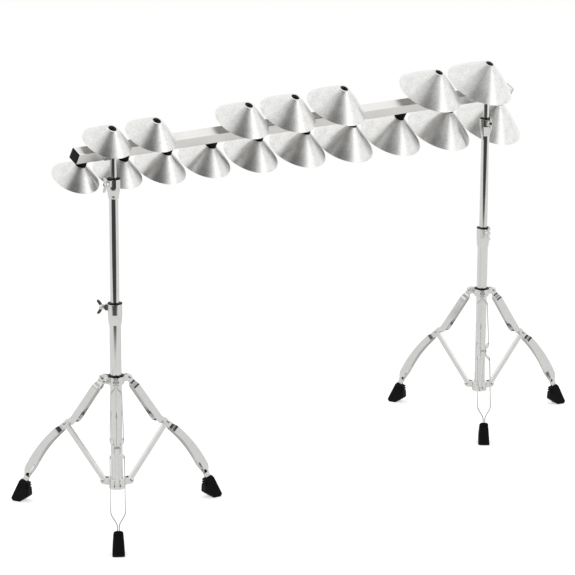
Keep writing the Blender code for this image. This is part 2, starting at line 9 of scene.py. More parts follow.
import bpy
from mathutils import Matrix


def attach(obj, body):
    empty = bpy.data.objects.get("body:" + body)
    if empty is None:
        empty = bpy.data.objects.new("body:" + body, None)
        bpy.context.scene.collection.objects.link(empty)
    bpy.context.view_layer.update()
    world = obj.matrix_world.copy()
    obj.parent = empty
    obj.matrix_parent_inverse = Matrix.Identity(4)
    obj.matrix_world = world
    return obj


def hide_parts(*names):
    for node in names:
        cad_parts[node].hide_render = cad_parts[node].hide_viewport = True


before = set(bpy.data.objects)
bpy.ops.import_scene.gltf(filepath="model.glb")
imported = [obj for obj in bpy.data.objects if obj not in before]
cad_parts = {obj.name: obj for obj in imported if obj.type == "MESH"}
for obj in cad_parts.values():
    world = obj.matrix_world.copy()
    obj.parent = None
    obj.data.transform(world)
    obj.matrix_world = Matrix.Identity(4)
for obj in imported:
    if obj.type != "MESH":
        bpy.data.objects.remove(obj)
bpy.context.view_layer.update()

import math

import bmesh
import bpy
from mathutils import Matrix, Vector

# %% [markdown]
# ## Measures of the whole
#
# The stands are 1300 mm apart and the bar's centre line is 911 mm above the floor. The bar lies
# 20 mm behind the two columns and leans 30 degrees, so the cones lean too. Every piece is placed
# from these few values.

# %% Measures of the whole
MM = 0.001
LEFT_COLUMN = Vector((-0.693774, -0.019945, 0))
STAND_SPACING = 1300 * MM
BAR_TILT = math.radians(30)
BAR_HEIGHT = 911 * MM
BAR_BEHIND = 20 * MM
BAR_OVERHANG = 99 * MM
BAR_LENGTH = 1508 * MM
BAR_SIDE = 28.6 * MM
BAR_WALL = 2.0 * MM
GAP = 0.3 * MM               # between neighbouring pieces, as in the solids


def column(index):
    """Foot of a stand's axis: 0 is the left stand, 1 the right one."""
    return LEFT_COLUMN + Vector((index * STAND_SPACING, 0, 0))


def shift(x=0, y=0, z=0):
    return Matrix.Translation(Vector((x, y, z)))


def spin(angle, axis="Z"):
    return Matrix.Rotation(angle, 4, axis)


def show(name, data):
    """New object in the scene."""
    made = bpy.data.objects.new(name, data)
    bpy.context.scene.collection.objects.link(made)
    return made


def on_bar(along):
    """Frame on the bar's centre line: X along the bar, Z out of its upper face."""
    spot = column(0) + Vector((along, BAR_BEHIND, BAR_HEIGHT))
    return Matrix.Translation(spot) @ spin(BAR_TILT, "X")


print("bar from", round(on_bar(-BAR_OVERHANG).translation.x, 4), "m, length", BAR_LENGTH)

# %% [markdown]
# ## Camera
#
# A long lens, far away, gives the nearly parallel lines of a catalogue photo. The place and the
# lens were solved from the feet, the columns and the bar, so the frame sits as it does in the
# photo without any shift.

# %% Camera
LENS = 151.96
CAMERA_PLACE = (-4.23398, -4.48630, 1.96721)
CAMERA_TURN = (76.3039, -0.2700, -42.5266)

camera = show("camera", bpy.data.cameras.new("camera"))
camera.data.lens = LENS
camera.data.sensor_width = 36
camera.location = CAMERA_PLACE
camera.rotation_euler = [math.radians(angle) for angle in CAMERA_TURN]
bpy.context.scene.camera = camera
bpy.context.scene.view_settings.view_transform = "Standard"
print("camera", LENS, "mm lens,", round(camera.location.length, 2), "m from the middle")

# %% [markdown]
# ## Nodes and colours
#
# A material is a small graph of nodes, and one helper adds them all. Colours are written as sRGB
# hex values, as a maker's colour card gives them.

# %% Nodes and colours
def linear(hex_colour):
    """sRGB hex value as the linear colour that a shader socket takes."""
    code = hex_colour.lstrip("#")
    channels = [int(code[start:start + 2], 16) / 255 for start in (0, 2, 4)]
    return (*[c / 12.92 if c <= 0.04045 else ((c + 0.055) / 1.055) ** 2.4 for c in channels], 1.0)


def add(tree, kind, inputs=None, **settings):
    """Adds one shader node. A socket given as an input is linked, any other value is set."""
    made = tree.nodes.new("ShaderNode" + kind)
    for key, value in settings.items():
        setattr(made, key, value)
    for key, value in (inputs or {}).items():
        if isinstance(value, bpy.types.NodeSocket):
            tree.links.new(value, made.inputs[key])
        else:
            made.inputs[key].default_value = value
    return made


print("mid grey #808080 is", round(linear("#808080")[0], 3), "linear")

# %% [markdown]
# ## Studio
#
# Polished metal looks like what stands round it, so the studio is half of the finish. The real
# picture was taken in a white cove: white behind, white under the object, and a dark room behind
# the photographer. Only mirrored rays see the three soft dark patches of this sky, each at its own
# direction from the object. The camera sees plain white, and the floor only keeps the soft shadow.

# %% Studio sky
WHITE = linear("#FFFFFF")
FACING = math.radians(-132.6)      # compass direction from the object to the camera
# each patch: turn right of the camera, rise, cosines of its edge and core, darkness
ROOM_LOW = (-2, -12, 0.50, 0.70, 0.94)
ROOM_HIGH = (21, 18, 0.76, 0.965, 0.96)
CEILING = (12, 68, 0.92, 0.98, 0.66)
SKY_IN_METAL = 1.20
SKY_ON_MATT = 0.60
HORIZON = (0.22, -0.06)            # sines of the rise where the low patch is gone and full


def smooth_band(tree, value, low, high):
    """0 below low, 1 above high, with a soft edge between."""
    band = add(tree, "MapRange", {0: value, 1: low, 2: high}, interpolation_type="SMOOTHSTEP")
    return band.outputs[0]


def maths(tree, operation, *values):
    return add(tree, "Math", dict(enumerate(values)), operation=operation).outputs[0]


def mix(tree, factor, first, second):
    """Mix of two shader nodes."""
    return add(tree, "MixShader", {0: factor, 1: first.outputs[0], 2: second.outputs[0]})


world = bpy.data.worlds.new("studio")
bpy.context.scene.world = world
world.use_nodes = True
sky = world.node_tree
sky.nodes.clear()
direction = add(sky, "TexCoord").outputs["Generated"]


def dark_patch(turn, rise, edge, core, depth):
    """A soft round patch, that many degrees right of the camera and above the horizon."""
    angle, lift = FACING + math.radians(turn), math.radians(rise)
    aim = (math.cos(angle) * math.cos(lift), math.sin(angle) * math.cos(lift), math.sin(lift))
    near = add(sky, "VectorMath", {0: direction, 1: aim}, operation="DOT_PRODUCT").outputs["Value"]
    return maths(sky, "MULTIPLY", smooth_band(sky, near, edge, core), depth)


height = add(sky, "SeparateXYZ", {0: direction}).outputs["Z"]
under_horizon = smooth_band(sky, height, *HORIZON)
low_patch = maths(sky, "MULTIPLY", dark_patch(*ROOM_LOW), under_horizon)
upper_patches = maths(sky, "MAXIMUM", dark_patch(*ROOM_HIGH), dark_patch(*CEILING))
dark = maths(sky, "MAXIMUM", low_patch, upper_patches)
reflected = maths(sky, "MULTIPLY", maths(sky, "SUBTRACT", 1.0, dark), SKY_IN_METAL)
rays = add(sky, "LightPath")
glossy_sky = add(sky, "Background", {0: WHITE, 1: reflected})
plain_sky = add(sky, "Background", {0: WHITE, 1: SKY_ON_MATT})
white_sky = add(sky, "Background", {0: WHITE, 1: 1.0})
seen = maths(sky, "MAXIMUM", rays.outputs["Is Camera Ray"], rays.outputs["Is Transmission Ray"])
lit = mix(sky, rays.outputs["Is Glossy Ray"], plain_sky, glossy_sky)
whole_sky = mix(sky, seen, lit, white_sky)
add(sky, "OutputWorld", {0: whole_sky.outputs[0]})
print("sky nodes", len(sky.nodes))


# %% Lamps
LAMP_AIM = Vector((0, 0, 0.5))


def soft_lamp(name, place, size, power, mirrored=True):
    """Round soft lamp. One that isn't mirrored lights the metal without showing in it."""
    lamp = bpy.data.lights.new(name, "AREA")
    lamp.shape = "DISK"
    lamp.size = size
    lamp.energy = power
    made = show(name, lamp)
    made.location = place
    aim = LAMP_AIM - made.location
    made.rotation_euler = aim.to_track_quat("-Z", "Y").to_euler()
    made.visible_glossy = mirrored


soft_lamp("lamp_left", (-2.4, 1.5, 3.3), 3.0, 12, mirrored=False)
soft_lamp("lamp_right", (1.75, -3.3, 1.8), 1.6, 7)
soft_lamp("lamp_top", (0.0, 0.4, 3.8), 2.6, 16, mirrored=False)
soft_lamp("card_right", (0.5, -1.5, 2.2), 0.9, 1.2)


# %% Floor
PAPER_EDGE = (1.85, 2.4)    # the white paper that the metal mirrors ends softly, this far in front
WHITE_FROM = (1.3, 2.2)     # the floor fades to plain white between these distances
FLOOR_LIFT = 0.56
PAPER_GLOW = 0.95
FLOOR_HALF = (4.0, 4.8)


def floor_paint():
    paint = bpy.data.materials.new("pale_floor")
    paint.use_nodes = True
    tree = paint.node_tree
    tree.nodes.clear()
    ray = add(tree, "LightPath")
    matt = add(tree, "BsdfDiffuse", {0: linear("#E9E9E9")})
    lift = add(tree, "Emission", {0: WHITE, 1: FLOOR_LIFT})
    glow = add(tree, "Emission", {0: WHITE, 1: PAPER_GLOW})
    lit_paper = add(tree, "AddShader", {0: matt.outputs[0], 1: lift.outputs[0]})
    plain_white = add(tree, "Emission", {0: WHITE, 1: 1.0})
    spot = add(tree, "TexCoord").outputs["Object"]
    out = add(tree, "VectorMath", {0: spot}, operation="LENGTH").outputs["Value"]
    both = mix(tree, smooth_band(tree, out, *WHITE_FROM), lit_paper, plain_white)
    seen_by_eye = mix(tree, ray.outputs["Is Camera Ray"], matt, both)
    clear = add(tree, "BsdfTransparent")
    front = (math.cos(FACING), math.sin(FACING), 0)
    off = add(tree, "VectorMath", {0: spot, 1: front}, operation="DOT_PRODUCT").outputs["Value"]
    paper = mix(tree, smooth_band(tree, off, *PAPER_EDGE), glow, clear)
    mirrored = maths(tree, "MAXIMUM", ray.outputs["Is Glossy Ray"],
                     ray.outputs["Is Transmission Ray"])
    whole = mix(tree, mirrored, seen_by_eye, paper)
    add(tree, "OutputMaterial", {0: whole.outputs[0]})
    return paint


floor_data = bpy.data.meshes.new("floor")
half_wide, half_deep = FLOOR_HALF
corners = [(a * half_wide, b * half_deep, 0) for a, b in ((-1, -1), (1, -1), (1, 1), (-1, 1))]
floor_data.from_pydata(corners, [], [(0, 1, 2, 3)])
floor = show("floor", floor_data)
floor.data.materials.append(floor_paint())
print("floor", 2 * half_wide, "by", 2 * half_deep, "m")

# %% [markdown]
# ## Forms
#
# Nearly every piece here is turned, pressed or cut from plate, so three ways of making a mesh are
# enough: a profile turned about an axis, an outline with a thickness, and a section drawn along a
# line of stations. Real edges are never sharp, so outlines get their corners rounded first: that
# is the thin line of light along each edge.

# %% Rounded outlines
def rounded(points, radius, closed=False, steps=4):
    """The outline with its corners turned into arcs of about that radius."""
    count = len(points)
    path = []
    for index, point in enumerate(points):
        if not closed and index in (0, count - 1):
            path.append(Vector(point))
            continue
        corner = Vector(point)
        back = Vector(points[index - 1]) - corner
        ahead = Vector(points[(index + 1) % count]) - corner
        bend = back.angle(ahead, math.pi)
        if bend > math.radians(176):
            path.append(corner)
            continue
        reach = min(radius / math.tan(bend / 2), 0.46 * back.length, 0.46 * ahead.length)
        start = corner + back.normalized() * reach
        end = corner + ahead.normalized() * reach
        for step in range(steps + 1):
            share = step / steps
            bow = 2 * share * (1 - share) * corner
            path.append((1 - share) ** 2 * start + bow + share ** 2 * end)
    return [tuple(point) for point in path]


print("a square rounded:", len(rounded([(0, 0), (1, 0), (1, 1), (0, 1)], 0.1, True)), "points")


# %% Skins through rings
def skin(rings, closed=False):
    """Solid through rings of equal point counts, capped at both ends or closed on itself."""
    form = bmesh.new()
    loops = [[form.verts.new(point) for point in ring] for ring in rings]
    count = len(rings[0])
    following = loops[1:] + loops[:1] if closed else loops[1:]
    for near, far in zip(loops, following):
        for index in range(count):
            after = (index + 1) % count
            form.faces.new((near[index], near[after], far[after], far[index]))
    if not closed:
        form.faces.new(loops[0])
        form.faces.new(loops[-1])
    bmesh.ops.recalc_face_normals(form, faces=form.faces)
    return form


def ring(radius, height, sides, flats=0):
    """Ring of points about Z, round or with that many flats, radius to the middle of a flat."""
    points = []
    for index in range(sides):
        angle = 2 * math.pi * index / sides
        reach = radius
        if flats:
            wedge = 2 * math.pi / flats
            reach = radius / math.cos((angle + wedge / 2) % wedge - wedge / 2)
        points.append((reach * math.cos(angle), reach * math.sin(angle), height))
    return points


def turned(profile, sides=72, closed=False):
    """Turned form from (radius, height) pairs, where a third value gives a ring its flats."""
    return skin([ring(r, z, sides, *flats) for r, z, *flats in profile], closed)


def sleeve(section, soft, steps=3):
    """Hollow turned form from a closed section whose corners are softened."""
    return turned(rounded(section, soft, closed=True, steps=steps), closed=True)


def mm(*points):
    """Points given in millimetres. A third value, the number of flats, is kept as it is."""
    return [(a * MM, b * MM, *flats) for a, b, *flats in points]


def plate(outline, low, high, edge=0.5 * MM, plane="XZ"):
    """Outline with a thickness and softened edges. It lies in the X-Z or in the X-Y plane."""
    centre_a = sum(a for a, b in outline) / len(outline)
    centre_b = sum(b for a, b in outline) / len(outline)
    size_a = max(abs(a - centre_a) for a, b in outline)
    size_b = max(abs(b - centre_b) for a, b in outline)
    rings = []
    for depth, inset in ((low, edge), (low + 0.3 * edge, 0.3 * edge), (low + edge, 0),
                         (high - edge, 0), (high - 0.3 * edge, 0.3 * edge), (high, edge)):
        near_a = 1 - inset / size_a
        near_b = 1 - inset / size_b
        flat = [(centre_a + (a - centre_a) * near_a, centre_b + (b - centre_b) * near_b)
                for a, b in outline]
        rings.append([(a, depth, b) if plane == "XZ" else (a, b, depth) for a, b in flat])
    return skin(rings)


def box_outline(low, high, half):
    return [(low, -half), (high, -half), (high, half), (low, half)]


def moved(form, matrix):
    form.transform(matrix)
    return form


def together(*forms):
    """Several closed forms as one mesh."""
    whole = bmesh.new()
    for form in forms:
        data = bpy.data.meshes.new("part")
        form.to_mesh(data)
        form.free()
        whole.from_mesh(data)
        bpy.data.meshes.remove(data)
    return whole


TO_X = spin(math.pi / 2, "Y")     # turns a form about Z into one about X
TO_Y = spin(-math.pi / 2, "X")    # turns a form about Z into one about Y


def shade_by_area(data, crease):
    """Soft edges whose light bends only there: big faces keep their own direction up to the rim."""
    limit = math.cos(math.radians(crease))
    touching = [[] for _ in data.vertices]
    for face in data.polygons:
        pull = face.normal * face.area
        for corner in face.vertices:
            touching[corner].append((face.normal, pull))
    directions = []
    for face in data.polygons:
        for corner in face.vertices:
            total = Vector()
            for normal, pull in touching[corner]:
                if normal.dot(face.normal) > limit:
                    total += pull
            directions.append(total.normalized())
    data.normals_split_custom_set(directions)


def keep_lathe_frame(data, place):
    """Each point notes where it was on the lathe and which way it turned, for the material."""
    spun = data.attributes.new("spun", "FLOAT_VECTOR", "POINT").data
    turning = data.attributes.new("turning", "FLOAT_VECTOR", "POINT").data
    for vertex, where, way in zip(data.vertices, spun, turning):
        where.vector = vertex.co
        way.vector = place.to_3x3() @ Vector((-vertex.co.y, vertex.co.x, 0)).normalized()


def piece(name, form, place, finish, body, *nodes, crease=38, spun=False):
    """Puts a finished form in place, lets it ride a body and hides the solids it stands for."""
    data = bpy.data.meshes.new(name)
    form.to_mesh(data)
    form.free()
    data.materials.append(finish)
    data.shade_smooth()
    if spun:
        keep_lathe_frame(data, place)
        data.transform(place)
        place = Matrix.Identity(4)
        data.set_sharp_from_angle(angle=math.radians(crease))
    else:
        shade_by_area(data, crease)
    made = show(name, data)
    made.matrix_world = place
    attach(made, body)
    if nodes:
        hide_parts(*nodes)
    return made


# %% [markdown]
# ## Turned aluminium for the bells
#
# Each bell is a cone of an aluminium casting alloy, turned on a lathe. The tool leaves rings a
# tenth or two of a millimetre apart, so light spreads along the slope and stays sharp round the
# cone: the bright and dark bands run from crown to rim. The rings are drawn about seven times as
# coarse as they are, or they would vanish. A faint cloudiness comes from the cast skin.

# %% Turned aluminium
def new_finish(name, colour, metallic, roughness):
    """Material with its Principled shader at plain values."""
    made = bpy.data.materials.new(name)
    made.use_nodes = True
    shader = made.node_tree.nodes["Principled BSDF"]
    plain = {"Base Color": linear(colour), "Metallic": metallic, "Roughness": roughness}
    for socket, value in plain.items():
        shader.inputs[socket].default_value = value
    return made, made.node_tree, shader


def dress(tree, shader, colour, roughness, normal):
    for socket, value in (("Base Color", colour), ("Roughness", roughness), ("Normal", normal)):
        tree.links.new(value, shader.inputs[socket])


def cloud(tree, vector, size, detail=3.0):
    """Noise from 0 to 1 whose lumps are about that many metres wide."""
    return add(tree, "TexNoise", {"Vector": vector, "Scale": 1 / size, "Detail": detail}).outputs[0]


def tint(tree, factor, low, high):
    """Colour between two hex values."""
    ends = {0: factor, 6: linear(low), 7: linear(high)}
    return add(tree, "Mix", ends, data_type="RGBA").outputs[2]


def between(tree, factor, low, high):
    return add(tree, "MapRange", {0: factor, 3: low, 4: high}).outputs[0]


def blend(tree, one, share_one, other, share_other):
    """Sum of two values, each with its own weight."""
    return maths(tree, "ADD", maths(tree, "MULTIPLY", one, share_one),
                 maths(tree, "MULTIPLY", other, share_other))


def raised(tree, factor, depth):
    return add(tree, "Bump", {"Height": factor, "Distance": depth, "Strength": 1.0}).outputs[0]


TURNING_PITCH = 1.1 * MM


def turned_aluminium():
    made, tree, shader = new_finish(
        "turned_aluminium_satin", "#DCDBD9", 1.0, 0.34)
    place = add(tree, "Attribute", attribute_name="spun").outputs["Vector"]
    parts = add(tree, "SeparateXYZ", {0: place}).outputs
    level = add(tree, "CombineXYZ", {0: parts[0], 1: parts[1]}).outputs[0]
    reach = add(tree, "VectorMath", {0: level}, operation="LENGTH").outputs["Value"]
    turn = maths(tree, "ARCTAN2", parts[1], parts[0])
    lines = add(tree, "CombineXYZ", {0: maths(tree, "DIVIDE", reach, TURNING_PITCH),
                                     1: maths(tree, "MULTIPLY", parts[2], 300.0),
                                     2: maths(tree, "MULTIPLY", maths(tree, "SINE", turn), 1.2)})
    groove = add(tree, "TexNoise", {"Vector": lines.outputs[0], "Scale": 1.0, "Detail": 2.0})
    skin_mottle = cloud(tree, place, 5 * MM, 5.0)
    patch = cloud(tree, place, 26 * MM)
    mixed = blend(tree, skin_mottle, 0.6, patch, 0.4)
    colour = tint(tree, between(tree, mixed, -0.4, 1.4), "#BFBEBB", "#F0F0EF")
    roughness = between(tree, skin_mottle, 0.28, 0.42)
    fine = cloud(tree, place, 0.9 * MM, 2.0)
    relief = blend(tree, groove.outputs[0], 0.75, fine, 0.25)
    dress(tree, shader, colour, roughness, raised(tree, relief, 0.07 * MM))
    shader.inputs["Anisotropic"].default_value = 0.6
    shader.inputs["Anisotropic Rotation"].default_value = 0.25
    turning = add(tree, "Attribute", attribute_name="turning").outputs["Vector"]
    tree.links.new(turning, shader.inputs["Tangent"])
    return made


BELL_METAL = turned_aluminium()
print(BELL_METAL.name, len(BELL_METAL.node_tree.nodes), "nodes")

# %% [markdown]
# ## Mill-finish aluminium for the bar
#
# The bar is an extruded square tube. The die draws long fine lines, so the highlight spreads
# across it. Its lines are a few tenths of a millimetre apart and hundreds long.

# %% Mill-finish aluminium
def extruded_aluminium():
    made, tree, shader = new_finish(
        "extruded_aluminium_mill_finish", "#D6D5D2", 1.0, 0.36)
    place = add(tree, "TexCoord").outputs["Object"]
    drawn = add(tree, "Mapping", {"Vector": place, "Scale": (0.004, 1.0, 1.0)}).outputs[0]
    lines = cloud(tree, drawn, 0.8 * MM)
    patch = cloud(tree, place, 40 * MM)
    dress(tree, shader, tint(tree, between(tree, patch, 0.1, 0.9), "#D8D6D1", "#E7E6E3"),
          between(tree, lines, 0.28, 0.44), raised(tree, lines, 0.04 * MM))
    shader.inputs["Anisotropic"].default_value = 0.5
    along_axis = add(tree, "Tangent", direction_type="RADIAL", axis="X")
    tree.links.new(along_axis.outputs[0], shader.inputs["Tangent"])
    return made


BAR_METAL = extruded_aluminium()

# %% [markdown]
# ## Chrome
#
# Tubes are polished before they are plated, so they mirror almost cleanly. The legs are plated
# over pressed strip, which stays a little wavy, and the clamps over cast zinc, which keeps the
# skin of the mould like faint orange peel. All three are the same bright plating on different
# ground, so one function makes them from the size and depth of their ripple.

# %% Chrome
def chrome(name, ripple, depth, rough_low, rough_high):
    made, tree, shader = new_finish(name, "#D2D2CF", 1.0, rough_low)
    place = add(tree, "TexCoord").outputs["Object"]
    ripples = cloud(tree, place, ripple, 2.0)
    smear = cloud(tree, place, 18 * MM, 4.0)
    dress(tree, shader, tint(tree, smear, "#CBCBC8", "#DCDCDA"),
          between(tree, smear, rough_low, rough_high), raised(tree, ripples, depth))
    return made


TUBE_CHROME = chrome("chrome_on_polished_tube", 60 * MM, 0.03 * MM, 0.04, 0.09)
STRIP_CHROME = chrome("chrome_on_pressed_strip", 22 * MM, 0.05 * MM, 0.08, 0.16)
CAST_CHROME = chrome("chrome_on_cast_zinc", 4 * MM, 0.03 * MM, 0.07, 0.13)

# %% [markdown]
# ## Rubber, nylon and steel
#
# Feet and spacers are black nitrile rubber, moulded, with a fine grain and a trace of pale bloom.
# The lips in the clamps and the end caps are moulded black nylon, a little glossier. Rivets and
# nuts are plain or zinc-plated steel, and the rivets have gone slightly brown.

# %% Rubber and nylon
def moulded(name, colour, pale, roughness, grain, depth):
    made, tree, shader = new_finish(name, colour, 0.0, roughness)
    place = add(tree, "TexCoord").outputs["Object"]
    patch = cloud(tree, place, 9 * MM, 4.0)
    grains = cloud(tree, place, grain, 2.0)
    dress(tree, shader, tint(tree, between(tree, patch, -0.3, 1.1), colour, pale),
          between(tree, patch, roughness - 0.08, roughness + 0.08), raised(tree, grains, depth))
    shader.inputs["Specular IOR Level"].default_value = 0.12
    return made


RUBBER = moulded("black_nitrile_rubber", "#060606", "#101011", 0.62,
                 0.8 * MM, 0.06 * MM)
NYLON = moulded("black_nylon_moulded", "#040404", "#0B0B0C", 0.45,
                0.5 * MM, 0.02 * MM)


# %% Steel
def steel(name, low, high, roughness):
    made, tree, shader = new_finish(name, low, 1.0, roughness)
    place = add(tree, "TexCoord").outputs["Object"]
    patch = cloud(tree, place, 3 * MM, 4.0)
    dress(tree, shader, tint(tree, patch, low, high),
          between(tree, patch, roughness - 0.06, roughness + 0.06), raised(tree, patch, 0.02 * MM))
    return made


RIVET_STEEL = steel("rivet_steel_browned", "#6E5A4C", "#A39485", 0.30)
ZINC_STEEL = steel("steel_zinc_plated", "#B9BCC0", "#D2D3D4", 0.28)
BLACKED_STEEL = steel("steel_black_oxide", "#0A0A0B", "#141415", 0.45)

# %% [markdown]
# ## Bar and end caps
#
# The bar is one length of square tube with rounded corners, hollow like the real one, and a black
# cap with a slightly cushioned face is pushed into each end.

# %% Bar
CORNER = 1.4 * MM


def square_ring(side, along, corner=CORNER):
    half = side / 2
    outline = rounded(box_outline(-half, half, half), corner, closed=True)
    return [(along, across, up) for across, up in outline]


inner_side = BAR_SIDE - 2 * BAR_WALL
edge = 0.35 * MM
bar_form = skin([
    square_ring(BAR_SIDE - 2 * edge, 0), square_ring(BAR_SIDE, edge),
    square_ring(BAR_SIDE, BAR_LENGTH - edge), square_ring(BAR_SIDE - 2 * edge, BAR_LENGTH),
    square_ring(inner_side, BAR_LENGTH, 0.8 * MM), square_ring(inner_side, 0, 0.8 * MM),
], closed=True)
piece("square_bar", bar_form, on_bar(-BAR_OVERHANG), BAR_METAL, "bar", "bar")

# %% End caps
CAP_PLATE = 2.5 * MM
CAP_PLUG = 14 * MM


def end_cap(name, along, outwards):
    plug = inner_side - 2 * GAP
    face = GAP + CAP_PLATE
    rings = [
        (BAR_SIDE * 0.55, face, 3 * MM), (BAR_SIDE - 2.6 * MM, face - 0.15 * MM, 1.6 * MM),
        (BAR_SIDE - 0.8 * MM, face - 0.6 * MM, CORNER), (BAR_SIDE, face - 1.3 * MM, CORNER),
        (BAR_SIDE, GAP, CORNER), (plug, GAP, MM), (plug, -4 * MM, MM),
        (plug - 1.2 * MM, -4.6 * MM, MM), (plug - 1.2 * MM, -7 * MM, MM), (plug, -7.6 * MM, MM),
        (plug - 1 * MM, -CAP_PLUG, MM),
    ]
    form = skin([square_ring(side, outwards * depth, corner) for side, depth, corner in rings])
    piece(name, form, on_bar(along), NYLON, "bar", "bar_" + name)


end_cap("cap_left", -BAR_OVERHANG, -1)
end_cap("cap_right", BAR_LENGTH - BAR_OVERHANG, 1)

# %% [markdown]
# ## Bells
#
# The bells are tuned by size: each semitone up takes three percent off the rim. So the rim
# diameter of every bell follows from its step in the scale, and the height from the rim. The flank
# is slightly domed, and the crown and the rim end in soft round edges. One profile, turned with
# 128 sides, makes each shell.

# %% Sizes of the bells
SMALLEST_RIM = 119 * MM / 2
SEMITONE_RATIO = 1.0305
NATURAL_STEPS = (0, 2, 4, 5, 7, 9, 11, 12, 14, 16)
NATURAL_PLACES_MM = (-71, 58.5, 194, 338, 495, 659, 827, 1003, 1192, 1394)
ACCIDENTAL_STEPS = (1, 3, 6, 8, 10, 13, 15)
ACCIDENTAL_PLACES_MM = (-13, 121.5, 414, 568, 736, 1080.5, 1273.5)
HEIGHT_SHARE = 0.70          # height of the smallest bell, as a share of its rim radius
HEIGHT_GAIN = 1.9            # what each further metre of rim radius adds to that share
BELL_WALL = 3.0 * MM
ROOF_WALL = 1.6 * BELL_WALL
SHOULDER_DROP = 2.2 * MM
CROWN = 14.4 * MM
SHOULDER = 16.6 * MM
BORE = 10.4 * MM
LOWER_RIM_RATIO = 1.195
UPPER_TOP_RATIO = 1.152


def rim_of(step):
    return SMALLEST_RIM * SEMITONE_RATIO ** step


def height_of(rim):
    return rim * (HEIGHT_SHARE + HEIGHT_GAIN * (rim - SMALLEST_RIM))


print("rims", [round(2000 * rim_of(step)) for step in NATURAL_STEPS], "mm")

# %% Profile of a bell
FLANK_POINTS = 26
DOME = 0.016             # how far the flank stands out in the middle, as a share of the rim radius


def flank(rim, height, inwards=0.0):
    """Outer flank from the rim edge to the shoulder, or a line that far inside it."""
    slope = math.atan2(height - SHOULDER_DROP, rim - SHOULDER)
    line = []
    for step in range(FLANK_POINTS + 1):
        share = step / FLANK_POINTS
        off = DOME * rim * math.sin(math.pi * share) - inwards
        radius = rim + (SHOULDER - rim) * share + off * math.sin(slope)
        up = (height - SHOULDER_DROP) * share + off * math.cos(slope)
        line.append((radius, up))
    return line


def shell_profile(rim, height, bore):
    """Closed section of the shell: up the outside, over the crown, down the bore and the inside."""
    outside = flank(rim, height)
    roof = height - ROOF_WALL
    slope = math.atan2(height - SHOULDER_DROP, rim - SHOULDER)
    foot = BELL_WALL * math.sin(slope)
    inner = [(r, z) for r, z in flank(rim, height, BELL_WALL)
             if 0.8 * MM < z < roof and r > bore + 2 * MM]
    crown = rounded([outside[-3], outside[-1], (CROWN, height), (bore + MM, height)], 3.2 * MM,
                    steps=6)
    mouth = rounded([crown[-1], (bore, height), (bore, roof), inner[-1]], 0.8 * MM)
    lip = [inner[0], (rim - foot - 0.5 * MM, 0.0), (rim - 0.30 * foot, 0.0)]
    edge = rounded([lip[-1], (rim, 0.0), outside[1]], 1.3 * MM, steps=8)
    return outside[1:-2] + crown[1:-1] + mouth[1:-1] + inner[::-1] + lip[1:] + edge[1:-1]


def bell_shell(rim, bore):
    return turned(shell_profile(rim, height_of(rim), bore), sides=128, closed=True)


test_shell = bell_shell(rim_of(0), BORE)
print("one shell has", len(test_shell.faces), "faces")
test_shell.free()

# %% [markdown]
# ## What holds the bells
#
# An upper bell stands on a metal standoff and is held by a black bolt that sits in the crown. A
# lower bell hangs under a round black rubber spacer, which lets it ring, and a nut with a washer
# holds it from inside.

# %% Upper bells
STANDOFF = 9 * MM
UNDER_BAR = BAR_SIDE / 2 + GAP


def crown_bolt(top):
    """Black button-head bolt with a hexagon socket, seated in a rubber grommet."""
    profile = mm((5.2, -8), (10.2, -7), (10.2, -0.9), (9.9, -0.3), (9.1, 0), (8.2, -0.3),
                 (7.9, -1), (6.5, -0.7), (5.6, 0.2), (4.2, 0.8), (3.2, 0.9), (2.5, 0.7, 6),
                 (2.5, -1.6, 6), (0.3, -2, 6))
    return turned([(radius, top + up, *flats) for radius, up, *flats in profile], sides=48)


def standoff(low, high):
    inside = STANDOFF - 2 * MM
    profile = [(inside, low), (STANDOFF, low), (STANDOFF, high), (inside, high)]
    profile = [(4 * MM, low)] + rounded(profile, 0.6 * MM, steps=3)[1:-1] + [(4 * MM, high)]
    return turned(profile, sides=48)


def upper_bell(number, step, along):
    rim = rim_of(step)
    height = height_of(rim)
    rim_plane = UPPER_TOP_RATIO * rim - height
    name, node = f"upper_bell_{number:02d}", f"bell_upper_{number:02d}"
    seat = on_bar(along)
    lifted = seat @ shift(z=rim_plane)
    piece(name + "_shell", bell_shell(rim, BORE), lifted, BELL_METAL, "bar", node, spun=True)
    piece(name + "_bolt", crown_bolt(height - 0.5 * MM), lifted, BLACKED_STEEL, "bar", node)
    roof = rim_plane + height - ROOF_WALL
    piece(name + "_standoff", standoff(UNDER_BAR, roof - 0.1 * MM), seat, ZINC_STEEL, "bar", node)


for number, (step, place) in enumerate(zip(ACCIDENTAL_STEPS, ACCIDENTAL_PLACES_MM), start=1):
    upper_bell(number, step, place * MM)
print("upper bells", len(ACCIDENTAL_STEPS))

# %% Lower bells
SPACER = 13.75 * MM
THREADS = 6
HANG = spin(math.pi, "X")


def rubber_spacer(tall):
    """Turned rubber block with one shallow groove at each end."""
    groove = 0.5 * MM
    outline = [
        (5 * MM, 0), (SPACER - 0.2 * MM, 0), (SPACER, 0.8 * MM), (SPACER, 2.4 * MM),
        (SPACER - groove, 2.9 * MM), (SPACER - groove, tall - 2.9 * MM), (SPACER, tall - 2.4 * MM),
        (SPACER, tall - 0.8 * MM), (SPACER - 0.2 * MM, tall), (5 * MM, tall),
    ]
    return turned(rounded(outline, 0.4 * MM, steps=3), sides=64)


